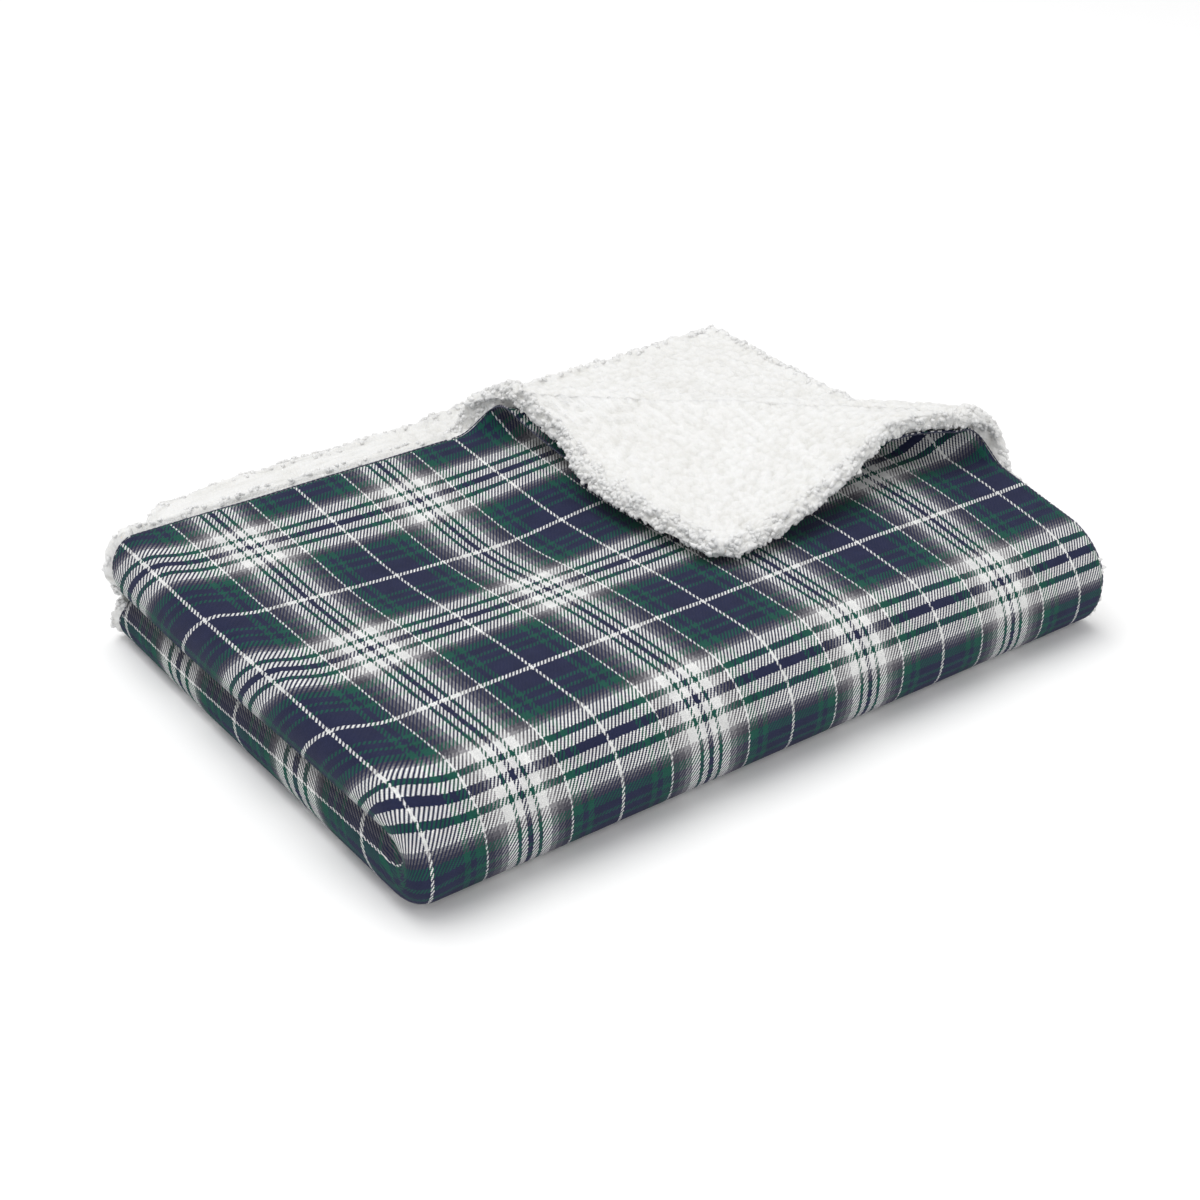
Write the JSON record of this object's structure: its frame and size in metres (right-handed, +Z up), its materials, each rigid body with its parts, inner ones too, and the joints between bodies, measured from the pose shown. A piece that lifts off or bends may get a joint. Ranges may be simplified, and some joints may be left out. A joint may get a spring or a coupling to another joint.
{
  "type": "camp blanket",
  "caption": "Two-ply throw with a plaid twill face and sherpa pile back, folded in quarters with one corner turned forward.",
  "frame": {"origin": "middle of the underside of the folded blanket's box, on the surface it lies on", "axes": "+X along the long side, from the two left folds to the open side edges; +Y from the front fold to the open back edges; +Z up"},
  "size_m": [0.518, 0.404, 0.1072],
  "materials": {
    "plaid_twill": "brushed yarn-dyed 2/2 twill, navy, green, grey and white plaid",
    "sherpa_pile": "curled sherpa pile, warm white",
    "seam_thread": "spun polyester thread, navy",
    "label_satin": "blank satin ribbon"
  },
  "bodies": {
    "lower_half": {"face_cloth_layer_four": "plaid_twill", "face_cloth_layer_three": "plaid_twill", "face_cloth_lower_left_fold": "plaid_twill", "sherpa_layer_four": "sherpa_pile", "sherpa_layer_three": "sherpa_pile", "sherpa_lower_left_fold": "sherpa_pile", "edge_seam_lower": "seam_thread", "face_cloth_front_fold": "plaid_twill", "sherpa_front_fold": "sherpa_pile", "edge_seam_front_outer": "seam_thread", "edge_seam_front_inner": "seam_thread", "closing_stitch": "seam_thread", "care_label": "label_satin"},
    "upper_half": {"face_cloth_layer_one": "plaid_twill", "face_cloth_layer_two": "plaid_twill", "face_cloth_upper_left_fold": "plaid_twill", "sherpa_layer_one": "sherpa_pile", "sherpa_layer_two": "sherpa_pile", "sherpa_upper_left_fold": "sherpa_pile", "edge_seam_upper_back": "seam_thread", "edge_seam_upper_side": "seam_thread", "face_cloth_crease_lower": "plaid_twill", "sherpa_crease_lower": "sherpa_pile", "edge_seam_crease_back_lower": "seam_thread", "edge_seam_crease_side_lower": "seam_thread"},
    "crease_roll": {"face_cloth_crease_upper": "plaid_twill", "sherpa_crease_upper": "sherpa_pile", "edge_seam_crease_back_upper": "seam_thread", "edge_seam_crease_side_upper": "seam_thread"},
    "turned_corner": {"face_cloth_corner": "plaid_twill", "sherpa_corner": "sherpa_pile", "edge_seam_corner": "seam_thread"}
  },
  "joints": [
    {"name": "unfold", "type": "hinge", "parent": "lower_half", "child": "upper_half", "pos_m": [-0.00901, -0.16681, 0.03515], "axis": [1, 0, 0], "range_deg": [0, 179], "deforming": ["face_cloth_front_fold", "sherpa_front_fold", "edge_seam_front_outer", "edge_seam_front_inner"]},
    {"name": "corner_unroll", "type": "hinge", "parent": "upper_half", "child": "crease_roll", "pos_m": [0.12618, 0.01699, 0.07265], "axis": [-0.7254, 0.6884, 0], "range_deg": [0, 94], "deforming": ["face_cloth_crease_lower", "sherpa_crease_lower", "edge_seam_crease_back_lower", "edge_seam_crease_side_lower"]},
    {"name": "corner_lay_back", "type": "hinge", "parent": "crease_roll", "child": "turned_corner", "pos_m": [0.12538, 0.01615, 0.08903], "axis": [-0.7254, 0.6884, 0], "range_deg": [0, 94], "deforming": ["face_cloth_crease_upper", "sherpa_crease_upper", "edge_seam_crease_back_upper", "edge_seam_crease_side_upper"]}
  ],
  "couplings": [
    {"joint": "corner_lay_back", "follows": "corner_unroll", "ratio": 1}
  ]
}
